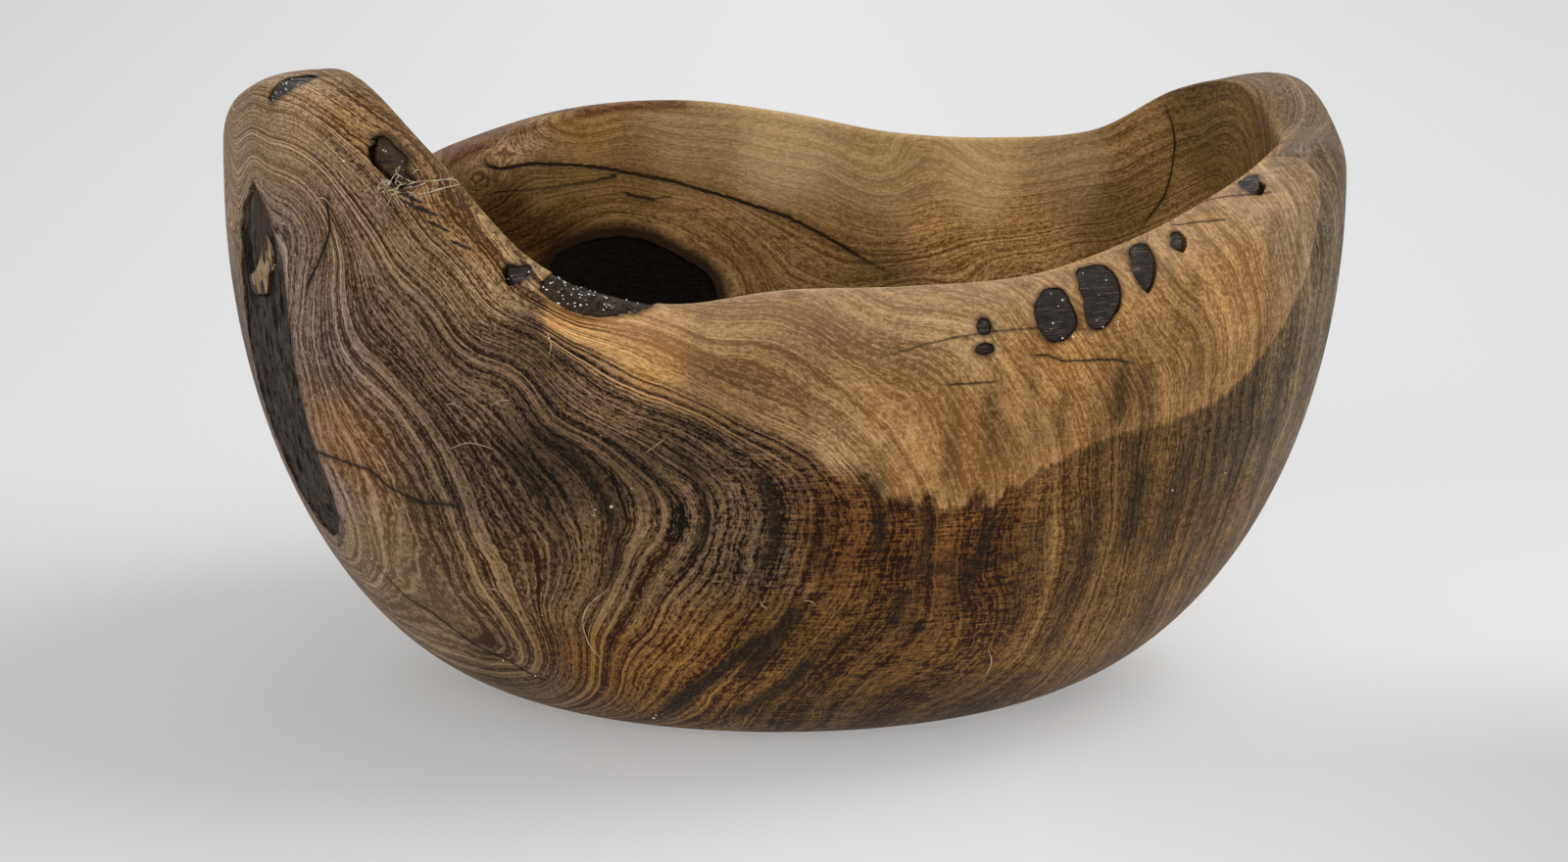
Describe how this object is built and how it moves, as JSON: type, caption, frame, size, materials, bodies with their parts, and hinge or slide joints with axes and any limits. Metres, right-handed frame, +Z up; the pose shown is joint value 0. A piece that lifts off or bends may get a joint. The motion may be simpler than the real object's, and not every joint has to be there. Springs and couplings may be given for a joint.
{
  "type": "yarn bowl",
  "caption": "Carved root-wood yarn bowl with a wavy natural rim: tall lobe at the left, second lobe at the right, low notch at the front left; dead knots and bark sit in the wood.",
  "frame": {"origin": "middle of the bounding box at the height of the flat foot, on the table", "axes": "+X to the right (longest way), -Y to the front, where the low notch is at the left, +Z up"},
  "size_m": [0.2, 0.1741, 0.1163],
  "materials": {
    "root_wood": "oiled, hand sanded, strong dark grain",
    "bark": "rough grey-black bark",
    "splinter": "raw pale wood",
    "dead_knot": "black resinous dead knot, scratched by sanding"
  },
  "bodies": {
    "root": {"bowl_body": "root_wood", "left_bark_inclusion": "bark", "bark_splinter": "splinter", "notch_bark_strip": "bark", "lobe_top_knot": "dead_knot", "lobe_edge_knot": "dead_knot", "notch_knot": "dead_knot", "rim_knot_upper_dot": "dead_knot", "rim_knot_lower_dot": "dead_knot", "rim_knot_left": "dead_knot", "rim_knot_middle": "dead_knot", "rim_knot_right": "dead_knot", "rim_knot_small": "dead_knot", "rim_knot_far_right": "dead_knot", "inner_knot": "dead_knot"}
  },
  "joints": []
}
